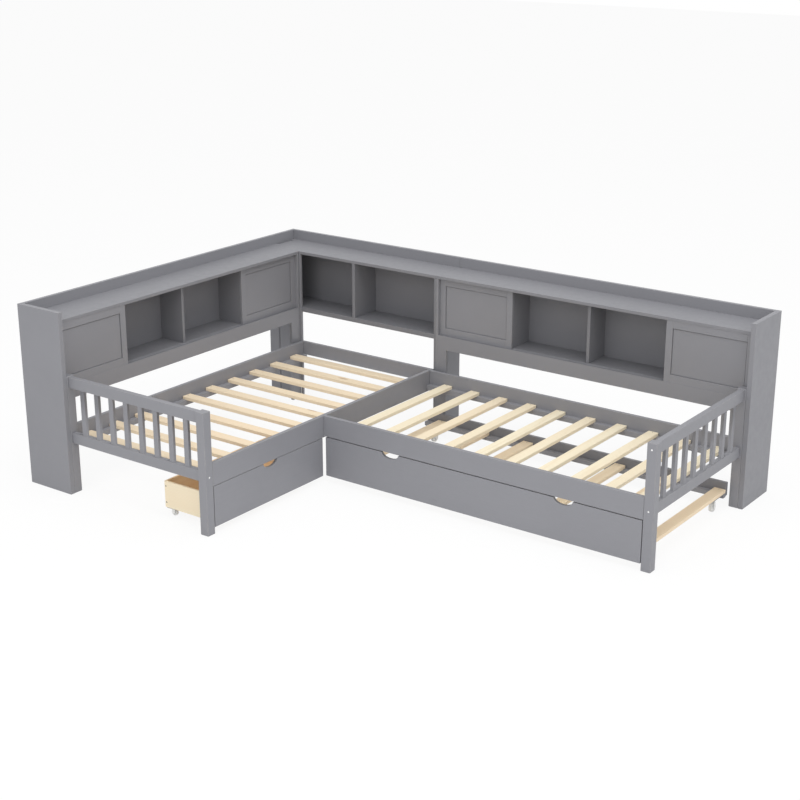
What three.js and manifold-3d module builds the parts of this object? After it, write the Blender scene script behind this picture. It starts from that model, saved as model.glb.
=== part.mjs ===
// An l-shaped pair of platform beds against a bookcase wall with sliding doors, a trundle and a drawer.
// Millimetres, +Z up, origin at the middle of the footprint on the floor.
import * as THREE from "three";
import { mergeVertices } from "three/addons/utils/BufferGeometryUtils.js";
import Module from "manifold-3d";

const wasm = await Module();
wasm.setup();

// Overall size. The right wing lies along +X, the left wing along -Y, both measured from the corner.
const rightWing = 3320;
const leftWing = 2266;
const wallHeight = 1016;

// Gap left where two boards meet, and how far glued pieces run into each other.
const seam = 0.3;
const bite = 2;

// Bookcase boards.
const caseDepth = 264;
const endPanel = 27;
const sidePanel = 15;
const sidePanelBack = 31;
const shelfBoard = 15;
const topBoard = 18;
const topBelowRim = 61;
const cubbyFloor = 597;
const galleryBoard = 20;
const galleryDrop = 120;
const backPanel = 5;
const cableSpace = 27;
const longDivider = 18;
const longDividerRecess = 39;
const dividerCount = 3;
const cornerDivider = 20;
const cornerLipWidth = 18;
const cornerLipDrop = 13;
const cornerSideInset = 80;
const fillerWidth = 13;
const fillerBoard = 15;

// Face frame in front of the long modules.
const frameBoard = 18;
const apronDrop = 85;
const cornerStiles = { left: 68, right: 60 };
const frameStile = 60;

// Gaps for cables in the corner.
const cableSlotWidth = 18;
const cableSlotLength = 145;
const cableSlotFront = 73;
const slitWidth = 11;
const slitFront = 153;
const slitBackBoard = 75;

// Sliding doors on two tracks: the outer door runs in front of the one beside the corner.
const doorBoard = 15;
const doorFrontLip = 2.5;
const doorPlay = 0.5;
const doorStile = 38;
const doorRail = 48;
const doorPanelRecess = 5;
const doorPanelBack = 4;
const doorLap = 1;
const doorGap = 4;
const lowerGroove = 5;
const upperGroove = 8;
const doorLift = 1;

// Bed frames. Both stand in front of the bookcase and share one side rail.
const post = 52;
const postHeight = 660;
const postGap = 0.5;
const rail = 22;
const railTop = 383;
const railHeight = 117;
const sharedRailHeight = 125;
const headRailHeight = 83;
const leftBedWidth = 1031;
const rightBedWidth = 1041;
const wallRailGap = 21;
const headRailGap = 2;
const headRailBoard = 22;

// Slat bases.
const slatDrop = 64;
const slatBoard = 20;
const slatPlay = 2;
const slatCount = 10;
const leftSlatWidth = 62;
const leftSlatStart = 72;
const leftSlatEnd = 38;
const rightSlatWidth = 60;
const rightSlatStart = 106;
const rightSlatEnd = 47;
const ledgerWidth = 30;
const ledgerHeight = 32;

// Footboards with spindles.
const footRailTop = 657;
const footRailTall = 60;
const footLowTop = 344;
const footLowTall = 58;
const footRailBoard = 30;
const spindleWidth = 32;
const spindleThick = 18;
const spindleCount = 8;
const tenon = 8;

// Support leg below the shared rail, behind the front rail of the right bed.
const legBehindFront = 155;

// Trundle and drawer fronts.
const frontBoard = 18;
const trundleFrontBottom = 37;
const trundleFrontTop = 261;
const drawerFrontBottom = 35;
const drawerFrontTop = 256;
const trundleInset = 11;
const trundleEndGap = 4;
const gripWidth = 108;
const gripDepth = 28;
const trundleGripInset = 435;
const drawerInset = 4;
const drawerFromTrundle = 11;

// Trundle frame.
const trundleEnd = 3;
const trundleBackGap = 18;
const trundleBackBoard = 18;
const trundleBackBottom = 66;
const trundleBackTall = 75;
const trundleSlatTop = 103;
const trundleSlatCount = 7;
const trundleSlatWidth = 65;
const trundleSlatStart = 80;
const trundleSlatEnd = 1;
const trundleLedgerHeight = 25;

// Drawer box.
const drawerBoxInset = 24;
const drawerBoxDepth = 357;
const drawerBoxBottom = 45;
const drawerBoxTall = 147;
const drawerWall = 12;
const drawerFloor = 6;

// Casters with fixed forks.
const trundleWheel = { radius: 25, width: 20, bore: 4.6, pin: 4, chamfer: 3 };
const drawerWheel = { radius: 18, width: 16, bore: 3.6, pin: 3, chamfer: 2 };
const casterCheek = 3;
const casterPlay = 1;
const casterTopPlay = 2;
const casterPlateBoard = 6;
const casterCheekHalf = 9;
const casterBelowPin = 8;
const trundleCasterPlate = 50;
const trundleCasterInset = 88;
const drawerCasterPlate = 56;
const drawerCasterInset = 43;
const drawerCasterSide = 26;
const wheelSides = 24;
const pinSides = 12;
const gripSides = 24;

// Levels and planes that follow from the sizes above.
const endDepth = caseDepth + post;
const topHeight = wallHeight - topBelowRim;
const topUnder = topHeight - topBoard;
const apronBottom = cubbyFloor - apronDrop;
const shelfUnder = cubbyFloor - shelfBoard;
const carcassBack = galleryBoard + cableSpace + backPanel;
const railBottom = railTop - railHeight;
const sharedRailBottom = railTop - sharedRailHeight;
const slatTop = railTop - slatDrop;
const slatUnder = slatTop - slatBoard;
const rightInner = rightWing - endPanel;
const leftInner = leftWing - endPanel;
const sharedOuter = caseDepth + leftBedWidth;
const sharedInner = sharedOuter - rail;
const rightFront = caseDepth + rightBedWidth;
const cornerSideRight = sharedOuter - bite;
const cornerEnd = cornerSideRight + sidePanel;
const footLeft = leftInner - postGap;
const footRight = rightInner - postGap;
const leftFoot = footLeft - post;
const rightFoot = footRight - post;
const trundleLeft = sharedOuter + trundleInset;
const trundleWidth = rightFoot - trundleEndGap - trundleLeft;
const drawerFrontEnd = rightFront + drawerFromTrundle;
const drawerWidth = leftFoot - drawerInset - drawerFrontEnd;

// Finishes.
function finish(color, roughness, metalness = 0) {
  return new THREE.MeshStandardMaterial({ color, roughness, metalness });
}
const paint = () => finish("#8f9296", 0.45);
const pine = () => finish("#e9d2ab", 0.6);
const plastic = () => finish("#e8e8e4", 0.4);

// A span between two neighbours, shortened by the seam at each end that is said to meet one.
const between = (a, b) => [a + seam, b - seam];
const after = (a, b) => [a + seam, b];

// A box that fills three spans, as a mesh placed at its middle.
function board(name, material, ...spans) {
  const size = spans.map(([a, b]) => b - a);
  const mesh = new THREE.Mesh(new THREE.BoxGeometry(...size), material);
  mesh.position.set(...spans.map(([a, b]) => (a + b) / 2));
  mesh.name = name;
  return mesh;
}

// The manifold solid of a mesh in its parent's frame.
function toSolid(mesh) {
  mesh.updateMatrix();
  const bare = mesh.geometry.clone().applyMatrix4(mesh.matrix);
  bare.deleteAttribute("normal");
  bare.deleteAttribute("uv");
  const merged = mergeVertices(bare);
  const vertProperties = merged.attributes.position.array;
  const triVerts = new Uint32Array(merged.index.array);
  return new wasm.Manifold(new wasm.Mesh({ numProp: 3, vertProperties, triVerts }));
}

// One mesh made of glued pieces, less the cutters.
function joined(name, material, pieces, cutters = []) {
  let solid = toSolid(pieces[0]);
  for (const piece of pieces.slice(1)) solid = solid.add(toSolid(piece));
  for (const cutter of cutters) solid = solid.subtract(toSolid(cutter));
  const { vertProperties, triVerts } = solid.getMesh();
  const geometry = new THREE.BufferGeometry();
  geometry.setAttribute("position", new THREE.BufferAttribute(vertProperties, 3));
  geometry.setIndex(new THREE.BufferAttribute(triVerts, 1));
  const flat = geometry.toNonIndexed();
  flat.computeVertexNormals();
  const mesh = new THREE.Mesh(flat, material);
  mesh.name = name;
  return mesh;
}

// A long bookcase module. x runs from the corner along the wall, y out from the wall, z up.
function longModule(side, start, end, wallBoardOf) {
  const group = new THREE.Group();
  const inner = start + sidePanel;
  const behindFrame = caseDepth - frameBoard;
  const frontTrack = caseDepth - doorFrontLip - doorBoard;
  const rearTrack = frontTrack - doorGap - doorBoard;
  const grooveOf = (track) => [track - doorPlay, track + doorBoard + doorPlay];
  const frontGroove = grooveOf(frontTrack);
  const rearGroove = grooveOf(rearTrack);
  const run = [start - bite, end + bite];
  const lowerTrack = [cubbyFloor - lowerGroove, cubbyFloor + bite];
  const dividerFront = caseDepth - longDividerRecess;
  const bay = (end - inner - dividerCount * longDivider) / (dividerCount + 1);

  group.add(wallBoardOf(start));

  // Top board with the two upper door grooves.
  group.add(
    joined(
      side + "_top_board",
      paint(),
      [board("", null, between(start, end), after(galleryBoard, caseDepth), [topUnder, topHeight])],
      [frontGroove, rearGroove].map((groove) =>
        board("", null, run, groove, [topUnder - bite, topUnder + upperGroove]),
      ),
    ),
  );

  // Floor board with the lower groove of the rear track near its front edge.
  group.add(
    joined(
      side + "_floor_board",
      paint(),
      [board("", null, between(inner, end), [carcassBack, behindFrame - seam], [shelfUnder, cubbyFloor])],
      [board("", null, run, rearGroove, lowerTrack)],
    ),
  );

  // Face frame: an apron on two stiles that stand on the floor. The front track runs in its upper edge.
  const frameDepth = [behindFrame, caseDepth];
  group.add(
    joined(
      side + "_face_frame",
      paint(),
      [
        board("", null, between(inner, end), frameDepth, [apronBottom, cubbyFloor]),
        board("", null, [inner + seam, inner + cornerStiles[side]], frameDepth, [0, apronBottom + bite]),
        board("", null, [end - frameStile, end - seam], frameDepth, [0, apronBottom + bite]),
      ],
      [board("", null, run, [behindFrame - bite, frontGroove[1]], lowerTrack)],
    ),
  );

  for (let i = 0; i < dividerCount; i += 1) {
    const x = inner + bay + i * (bay + longDivider);
    group.add(
      board(
        side + "_divider_" + (i + 1),
        paint(),
        [x, x + longDivider],
        [carcassBack, dividerFront],
        between(cubbyFloor, topUnder),
      ),
    );
  }

  group.add(
    board(
      side + "_back_panel",
      paint(),
      between(start, end),
      [carcassBack - backPanel, carcassBack - seam],
      [shelfUnder, topUnder - seam],
    ),
  );

  // Two doors, one over each outer bay, on tracks of their own so that they pass each other.
  const doorWidth = bay + longDivider + doorLap;
  const doorBottom = cubbyFloor - lowerGroove + seam;
  const doorTop = topUnder + upperGroove - doorLift;
  [inner + seam, end - seam - doorWidth].forEach((x, i) => {
    const track = [rearTrack, frontTrack][i];
    const doorDepth = [track, track + doorBoard];
    const pane = [x + doorStile, x + doorWidth - doorStile];
    const paneTall = [doorBottom + doorRail, doorTop - doorRail];
    group.add(
      joined(
        side + "_door_" + (i + 1),
        paint(),
        [board("", null, [x, x + doorWidth], doorDepth, [doorBottom, doorTop])],
        [
          board("", null, pane, [doorDepth[1] - doorPanelRecess, doorDepth[1] + bite], paneTall),
          board("", null, pane, [doorDepth[0] - bite, doorDepth[0] + doorPanelBack], paneTall),
        ],
      ),
    );
  });
  return group;
}

function rightModule() {
  // The board beside the corner reaches further back below the cubbies.
  const wallBoard = (start) =>
    joined(
      "right_inner_side_panel",
      paint(),
      [board("", null, [start, start + sidePanel], [sidePanelBack, caseDepth], [0, topUnder - seam])],
      [
        board(
          "",
          null,
          [start - bite, start + sidePanel + bite],
          [0, carcassBack],
          [shelfUnder - bite, topHeight],
        ),
      ],
    );
  const group = longModule("right", cornerEnd, rightInner, wallBoard);
  const railSpan = [cornerEnd + seam, rightInner - seam];
  group.add(
    board("right_gallery_rail", paint(), railSpan, [0, galleryBoard], [wallHeight - galleryDrop, wallHeight]),
  );
  // y grows out from the wall, which is -Y for this wing.
  group.scale.y = -1;
  return group;
}

function leftModule() {
  // The board beside the corner is split by a slit for cables, closed above the open window.
  const wallBoard = (start) => {
    const span = [start + seam, start + sidePanel];
    const slitBack = caseDepth - slitFront - slitWidth;
    return joined(
      "left_inner_side_panel",
      paint(),
      [board("", null, span, [slitBack - slitBackBoard, caseDepth], [0, topUnder - seam])],
      [
        board(
          "",
          null,
          [start - bite, start + sidePanel + bite],
          [slitBack, slitBack + slitWidth],
          [-bite, shelfUnder - cornerLipDrop],
        ),
        board(
          "",
          null,
          [start - bite, start + sidePanel + bite],
          [0, carcassBack],
          [shelfUnder - bite, topHeight],
        ),
      ],
    );
  };
  const group = longModule("left", caseDepth, leftInner, wallBoard);
  const railSpan = between(galleryBoard, leftInner);
  group.add(
    board("left_gallery_rail", paint(), railSpan, [0, galleryBoard], [wallHeight - galleryDrop, wallHeight]),
  );
  group.rotation.z = -Math.PI / 2;
  return group;
}

// The corner module spans the head of the left bed.
function cornerModule() {
  const group = new THREE.Group();
  const depth = [-caseDepth, -carcassBack];
  const leftSide = cornerSideInset + sidePanel;
  const front = [-caseDepth, cornerLipWidth - caseDepth];
  const middle = (leftSide + cornerSideRight - cornerDivider) / 2;
  // A filler strip closes the inner corner, notched into the floor board.
  const filler = [
    [caseDepth, caseDepth + fillerWidth],
    [-caseDepth, fillerBoard - caseDepth],
    [0, topUnder - seam],
  ];
  const notch = [
    [caseDepth - seam, caseDepth + fillerWidth + seam],
    [-caseDepth - bite, fillerBoard + seam - caseDepth],
    [0, topUnder],
  ];
  group.add(
    board("corner_filler_strip", paint(), ...filler),
    board(
      "corner_left_side_panel",
      paint(),
      [cornerSideInset, leftSide],
      depth,
      [0, topUnder - seam],
    ),
    board(
      "corner_right_side_panel",
      paint(),
      [cornerSideRight, cornerEnd - seam],
      depth,
      [0, topUnder - seam],
    ),
    joined(
      "corner_top_board",
      paint(),
      [
        board(
          "",
          null,
          between(galleryBoard, cornerEnd),
          [-caseDepth, -galleryBoard - seam],
          [topUnder, topHeight],
        ),
      ],
      [
        board(
          "",
          null,
          [galleryBoard - bite, galleryBoard + cableSlotWidth],
          [cableSlotFront - caseDepth, cableSlotFront + cableSlotLength - caseDepth],
          [topUnder - bite, topHeight + bite],
        ),
      ],
    ),
    joined(
      "corner_floor_board",
      paint(),
      [
        board("", null, between(leftSide, cornerSideRight), depth, [shelfUnder, cubbyFloor]),
        board(
          "",
          null,
          between(leftSide, cornerSideRight),
          front,
          [shelfUnder - cornerLipDrop, shelfUnder + bite],
        ),
      ],
      [board("", null, ...notch)],
    ),
    board(
      "corner_divider",
      paint(),
      [middle, middle + cornerDivider],
      depth,
      between(cubbyFloor, topUnder),
    ),
    board(
      "corner_gallery_rail",
      paint(),
      [0, cornerEnd],
      [-galleryBoard, 0],
      [wallHeight - galleryDrop, wallHeight],
    ),
    board(
      "corner_back_panel",
      paint(),
      [cornerSideInset, cornerEnd - seam],
      [seam - carcassBack, backPanel - carcassBack],
      [shelfUnder, topUnder - seam],
    ),
  );
  return group;
}

function endPanels() {
  const group = new THREE.Group();
  group.add(
    board("right_end_panel", paint(), [rightInner, rightWing], [-endDepth, 0], [0, wallHeight]),
    board("left_end_panel", paint(), [0, endDepth], [-leftWing, -leftInner], [0, wallHeight]),
  );
  return group;
}

// A footboard: two posts and a glued grille between them. x runs from the wall post to the front post.
function footboard(side, length) {
  const group = new THREE.Group();
  const span = between(post, length - post);
  const railDepth = [(post - footRailBoard) / 2, (post + footRailBoard) / 2];
  const spindleDepth = [(post - spindleThick) / 2, (post + spindleThick) / 2];
  const gap = (length - 2 * post - spindleCount * spindleWidth) / (spindleCount + 1);
  const pieces = [
    board("", null, span, railDepth, [footRailTop - footRailTall, footRailTop]),
    board("", null, span, railDepth, [footLowTop - footLowTall, footLowTop]),
  ];
  for (let i = 0; i < spindleCount; i += 1) {
    const x = post + gap + i * (gap + spindleWidth);
    pieces.push(
      board(
        "",
        null,
        [x, x + spindleWidth],
        spindleDepth,
        [footLowTop - tenon, footRailTop - footRailTall + tenon],
      ),
    );
  }
  group.add(
    board(side + "_rear_post", paint(), [0, post], [0, post], [0, postHeight]),
    board(side + "_front_post", paint(), [length - post, length], [0, post], [0, postHeight]),
    joined(side + "_footboard_grille", paint(), pieces),
  );
  return group;
}

// Slats let into two ledgers, evenly spaced between the first and the last.
// x runs across the slats, along the ledgers.
function slatBase(name, slats, length, gapAcross, ledgers) {
  const pitch = (length - slats.start - slats.end - slats.width) / (slats.count - 1);
  const pieces = [
    board("", null, [0, length], [seam, ledgerWidth], ledgers),
    board("", null, [0, length], [gapAcross - ledgerWidth, gapAcross - seam], ledgers),
  ];
  for (let i = 0; i < slats.count; i += 1) {
    const x = slats.start + i * pitch;
    pieces.push(
      board("", null, [x, x + slats.width], [slatPlay, gapAcross - slatPlay], [slats.top - slatBoard, slats.top]),
    );
  }
  return { name, pieces };
}

function bedFrames() {
  const group = new THREE.Group();
  const tall = [railBottom, railTop];
  const wallRail = caseDepth + wallRailGap;
  const headBack = caseDepth + headRailGap;
  const headFront = headBack + headRailBoard;
  const ledgerTop = slatUnder + bite;
  const ledgers = [ledgerTop - ledgerHeight, ledgerTop];
  group.add(
    board(
      "left_bed_side_rail",
      paint(),
      [wallRail, wallRail + rail],
      between(-leftFoot, -headFront),
      tall,
    ),
    board(
      "left_bed_head_rail",
      paint(),
      [wallRail, sharedInner - seam],
      [-headFront, -headBack],
      [railTop - headRailHeight, railTop],
    ),
    board(
      "shared_side_rail",
      paint(),
      [sharedInner, sharedOuter],
      between(-leftFoot, -caseDepth),
      [sharedRailBottom, railTop],
    ),
    board(
      "right_bed_rear_rail",
      paint(),
      between(sharedOuter, rightFoot),
      [-wallRail - rail, -wallRail],
      tall,
    ),
    board(
      "right_bed_front_rail",
      paint(),
      between(sharedOuter, rightFoot),
      [-rightFront, rail - rightFront],
      tall,
    ),
    board(
      "shared_rail_leg",
      paint(),
      [sharedOuter - post, sharedOuter],
      [legBehindFront - rightFront, legBehindFront - rightFront + post],
      [0, sharedRailBottom - seam],
    ),
  );

  // The left bed's slats run along X: its base is built with x toward the foot.
  const leftSlats = { count: slatCount, start: leftSlatStart, end: leftSlatEnd };
  Object.assign(leftSlats, { width: leftSlatWidth, top: slatTop });
  const leftBase = slatBase(
    "left_bed_slat_base",
    leftSlats,
    leftFoot - headFront - 2 * seam,
    sharedInner - wallRail - rail,
    ledgers,
  );
  const leftMesh = joined(leftBase.name, pine(), leftBase.pieces);
  leftMesh.rotation.z = -Math.PI / 2;
  leftMesh.position.set(wallRail + rail, -headFront - seam, 0);
  group.add(leftMesh);

  // The right bed's slats run along Y, from the rear rail to the front rail.
  const rightSlats = { count: slatCount, start: rightSlatStart, end: rightSlatEnd };
  Object.assign(rightSlats, { width: rightSlatWidth, top: slatTop });
  const rightBase = slatBase(
    "right_bed_slat_base",
    rightSlats,
    rightFoot - sharedOuter - 2 * seam,
    rightFront - wallRail - 2 * rail,
    ledgers,
  );
  const rightMesh = joined(rightBase.name, pine(), rightBase.pieces);
  rightMesh.position.set(sharedOuter + seam, rail - rightFront, 0);
  group.add(rightMesh);

  const left = footboard("left", leftBedWidth);
  left.position.set(caseDepth + seam, -footLeft, 0);
  const right = footboard("right", rightBedWidth);
  right.rotation.z = -Math.PI / 2;
  right.position.set(footRight - post, -caseDepth - seam, 0);
  group.add(left, right);
  return group;
}

// A drawer or trundle front with half-moon grips in its top edge. x runs along it, -y is outward.
function pullFront(name, width, [bottom, top], grips) {
  const outline = new THREE.Shape();
  outline.moveTo(0, bottom);
  outline.lineTo(width, bottom);
  outline.lineTo(width, top);
  for (const x of [...grips].reverse()) {
    outline.lineTo(x + gripWidth / 2, top);
    outline.absellipse(x, top, gripWidth / 2, gripDepth, 0, -Math.PI, true);
  }
  outline.lineTo(0, top);
  outline.closePath();
  const settings = { depth: frontBoard, bevelEnabled: false, curveSegments: gripSides };
  const mesh = new THREE.Mesh(new THREE.ExtrudeGeometry(outline, settings), paint());
  mesh.rotation.x = Math.PI / 2;
  mesh.name = name;
  return mesh;
}

// A wheel with its bore, turned about x.
function wheel(name, size, material) {
  const { radius, width, bore, chamfer } = size;
  const half = width / 2;
  const profile = [
    [bore, -half],
    [radius - chamfer, -half],
    [radius, chamfer - half],
    [radius, half - chamfer],
    [radius - chamfer, half],
    [bore, half],
    [bore, -half],
  ].map(([r, y]) => new THREE.Vector2(r, y));
  const mesh = new THREE.Mesh(new THREE.LatheGeometry(profile, wheelSides), material);
  mesh.rotation.z = Math.PI / 2;
  mesh.name = name;
  return mesh;
}

// The pieces of a fork over a wheel whose axle is at the origin, along x: a plate, two cheeks and the pin.
function forkPieces(size, plate, plateTop) {
  const inner = size.width / 2 + casterPlay;
  const outer = inner + casterCheek;
  const under = Math.max(size.radius + casterTopPlay, plateTop - casterPlateBoard);
  const pin = new THREE.Mesh(
    new THREE.CylinderGeometry(size.pin, size.pin, 2 * outer - bite, pinSides),
    null,
  );
  pin.rotation.z = Math.PI / 2;
  const cheek = [-casterCheekHalf, casterCheekHalf];
  return [
    board("", null, [-outer, outer], plate, [under, plateTop]),
    board("", null, [-outer, -inner], cheek, [-casterBelowPin, under + bite / 2]),
    board("", null, [inner, outer], cheek, [-casterBelowPin, under + bite / 2]),
    pin,
  ];
}

// Pieces moved, and turned a quarter about z when asked, into their parent's frame.
function placed(pieces, x, y, z, quarter = 0) {
  const move = new THREE.Matrix4()
    .makeTranslation(x, y, z)
    .multiply(new THREE.Matrix4().makeRotationZ((quarter * Math.PI) / 2));
  return pieces.map((piece) => {
    piece.updateMatrix();
    piece.geometry.applyMatrix4(move.clone().multiply(piece.matrix));
    piece.position.set(0, 0, 0);
    piece.rotation.set(0, 0, 0);
    return piece;
  });
}

function trundle() {
  const group = new THREE.Group();
  const grips = [trundleGripInset, trundleWidth - trundleGripInset];
  const levels = [trundleFrontBottom, trundleFrontTop];
  const front = pullFront("trundle_front", trundleWidth, levels, grips);
  front.position.set(trundleLeft, frontBoard - rightFront, 0);
  group.add(front);

  const wallRail = caseDepth + wallRailGap;
  const back = -wallRail - rail - trundleBackGap;
  const backFront = back - trundleBackBoard;
  const left = trundleLeft + trundleEnd;
  const length = trundleWidth - 2 * trundleEnd;
  group.add(
    board(
      "trundle_back_rail",
      paint(),
      [left, left + length],
      [backFront, back],
      [trundleBackBottom, trundleBackBottom + trundleBackTall],
    ),
  );

  // Slats on ledgers, with the forks of the four casters below the outer slats.
  const frontBack = frontBoard - rightFront;
  const across = backFront - frontBack;
  const slats = { count: trundleSlatCount, start: trundleSlatStart, end: trundleSlatEnd };
  Object.assign(slats, { width: trundleSlatWidth, top: trundleSlatTop });
  const ledgerTop = trundleSlatTop - slatBoard + bite;
  const base = slatBase(
    "trundle_slat_base",
    slats,
    length,
    across,
    [ledgerTop - trundleLedgerHeight, ledgerTop],
  );
  const size = trundleWheel;
  const firstX = trundleSlatStart + trundleSlatWidth / 2;
  const lastX = length - trundleSlatEnd - trundleSlatWidth / 2;
  const plate = [-trundleCasterPlate / 2, trundleCasterPlate / 2];
  const plateTop = ledgerTop - size.radius;
  const rows = { front: trundleCasterInset, back: across - trundleCasterInset };
  const sides = { left: firstX, right: lastX };
  for (const [row, y] of Object.entries(rows)) {
    for (const [side, x] of Object.entries(sides)) {
      base.pieces.push(...placed(forkPieces(size, plate, plateTop), x, y, size.radius));
      const turned = wheel("trundle_" + row + "_" + side + "_wheel", size, plastic());
      turned.position.set(left + x, frontBack + y, size.radius);
      group.add(turned);
    }
  }
  const mesh = joined(base.name, pine(), base.pieces);
  mesh.position.set(left, frontBack, 0);
  group.add(mesh);
  return group;
}

// The drawer is built facing -y and turned to face +X. x runs along its front, from the outer end.
function drawer() {
  const group = new THREE.Group();
  const levels = [drawerFrontBottom, drawerFrontTop];
  const front = pullFront("drawer_front", drawerWidth, levels, [drawerWidth / 2]);
  front.position.set(0, frontBoard, 0);
  const left = drawerBoxInset;
  const right = drawerWidth - drawerBoxInset;
  const boxFront = frontBoard + seam;
  const boxBack = frontBoard + drawerBoxDepth;
  const tall = [drawerBoxBottom, drawerBoxBottom + drawerBoxTall];
  group.add(
    front,
    joined("drawer_box", pine(), [
      board("", null, [left, left + drawerWall], [boxFront, boxBack], tall),
      board("", null, [right - drawerWall, right], [boxFront, boxBack], tall),
      board("", null, [left, right], [boxBack - drawerWall, boxBack], tall),
    ]),
  );

  const floor = [
    board(
      "",
      null,
      between(left + drawerWall, right - drawerWall),
      between(frontBoard, boxBack - drawerWall),
      [drawerBoxBottom, drawerBoxBottom + drawerFloor],
    ),
  ];
  const size = drawerWheel;
  const plate = [-drawerCasterPlate / 2, drawerCasterPlate / 2];
  const plateTop = drawerBoxBottom + bite - size.radius;
  const rows = { front: frontBoard + drawerCasterInset, back: boxBack - drawerCasterInset };
  const sides = {
    outer: left + drawerCasterSide,
    inner: right - drawerCasterSide,
  };
  for (const [row, y] of Object.entries(rows)) {
    for (const [side, x] of Object.entries(sides)) {
      floor.push(...placed(forkPieces(size, plate, plateTop), x, y, size.radius));
      const turned = wheel("drawer_" + row + "_" + side + "_wheel", size, plastic());
      turned.position.set(x, y, size.radius);
      group.add(turned);
    }
  }
  group.add(joined("drawer_bottom", pine(), floor));
  group.rotation.z = Math.PI / 2;
  group.position.set(sharedOuter, -drawerFrontEnd - drawerWidth, 0);
  return group;
}

const bed = new THREE.Group();
bed.position.set(-rightWing / 2, leftWing / 2, 0);
bed.add(
  endPanels(),
  cornerModule(),
  rightModule(),
  leftModule(),
  bedFrames(),
  trundle(),
  drawer(),
);

const model = new THREE.Group();
model.add(bed);

export default model;
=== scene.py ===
# Looks for an l-shaped platform bed with a corner bookcase, a trundle and a drawer.
# Everything is in metres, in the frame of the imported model.
import math
import random

import bmesh
import bpy
from mathutils import Matrix, Vector


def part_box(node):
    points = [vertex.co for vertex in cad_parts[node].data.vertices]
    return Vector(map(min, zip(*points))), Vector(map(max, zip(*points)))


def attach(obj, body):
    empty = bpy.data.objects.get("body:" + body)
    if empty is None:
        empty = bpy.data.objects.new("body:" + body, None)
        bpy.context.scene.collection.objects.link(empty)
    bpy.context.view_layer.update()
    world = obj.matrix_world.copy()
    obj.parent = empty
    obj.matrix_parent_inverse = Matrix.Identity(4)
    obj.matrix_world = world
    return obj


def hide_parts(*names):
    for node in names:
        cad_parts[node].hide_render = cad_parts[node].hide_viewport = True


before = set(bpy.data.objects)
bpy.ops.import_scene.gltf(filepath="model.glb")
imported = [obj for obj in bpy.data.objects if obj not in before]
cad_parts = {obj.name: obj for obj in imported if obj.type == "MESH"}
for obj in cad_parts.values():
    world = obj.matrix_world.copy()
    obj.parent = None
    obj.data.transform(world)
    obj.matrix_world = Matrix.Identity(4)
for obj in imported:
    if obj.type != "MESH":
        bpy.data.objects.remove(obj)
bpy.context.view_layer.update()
seeded = random.Random(11)
mainBody = "bed_and_bookcase"
print("frame loaded:", len(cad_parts), "nodes")

# Camera, at the photograph's viewing angle
cameraView = {
    "place": (4.58947, -6.21954, 3.14805),
    "tilt": 71.090,  # degrees from straight down
    "turn": 36.281,  # degrees from looking along +Y
    "lens": 68.57,
    "sensor": 36.0,
}
camera = bpy.data.objects.new("camera", bpy.data.cameras.new("camera"))
bpy.context.scene.collection.objects.link(camera)
camera.data.lens = cameraView["lens"]
camera.data.sensor_width = cameraView["sensor"]
camera.location = cameraView["place"]
tilt, turn = math.radians(cameraView["tilt"]), math.radians(cameraView["turn"])
camera.rotation_euler = (tilt, 0, turn)
bpy.context.scene.camera = camera
print("camera placed")


# Short ways to add a node, with values or links by socket
def put(tree, kind, links=None, **settings):
    node = tree.nodes.new(kind)
    for key, value in settings.items():
        setattr(node, key, value)
    for socket, source in (links or {}).items():
        if isinstance(source, bpy.types.NodeSocket):
            tree.links.new(source, node.inputs[socket])
        else:
            node.inputs[socket].default_value = source
    return node


def newGroup(name, inputs, outputs):
    group = bpy.data.node_groups.new(name, "ShaderNodeTree")
    kinds = {"v": "NodeSocketVector", "f": "NodeSocketFloat"}
    for label, kind, value in inputs:
        made = group.interface.new_socket(name=label, in_out="INPUT", socket_type=kinds[kind])
        if value is not None:
            made.default_value = value
    for label in outputs:
        group.interface.new_socket(name=label, in_out="OUTPUT", socket_type=kinds["f"])
    return group, put(group, "NodeGroupInput").outputs, put(group, "NodeGroupOutput").inputs


def maths(tree, operation, *values):
    return put(tree, "ShaderNodeMath", dict(enumerate(values)), operation=operation).outputs[0]


def vectorMaths(tree, operation, links):
    return put(tree, "ShaderNodeVectorMath", links, operation=operation).outputs[0]


def spread(tree, value, low, high, toLow=0.0, toHigh=1.0):
    links = {"Value": value, "From Min": low, "From Max": high}
    links.update({"To Min": toLow, "To Max": toHigh})
    return put(tree, "ShaderNodeMapRange", links).outputs["Result"]


def noise(tree, place, scale, detail=2.0, rough=0.5):
    links = {"Vector": place, "Scale": scale, "Detail": detail, "Roughness": rough}
    return put(tree, "ShaderNodeTexNoise", links).outputs["Fac"]


def stretched(tree, place, scale):
    links = {"Vector": place, "Scale": scale}
    return put(tree, "ShaderNodeMapping", links).outputs["Vector"]


def blended(tree, amount, a, b):
    links = {0: amount, 6: a, 7: b}  # inputs 6 and 7 are the two colours
    return put(tree, "ShaderNodeMix", links, data_type="RGBA").outputs[2]


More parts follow.
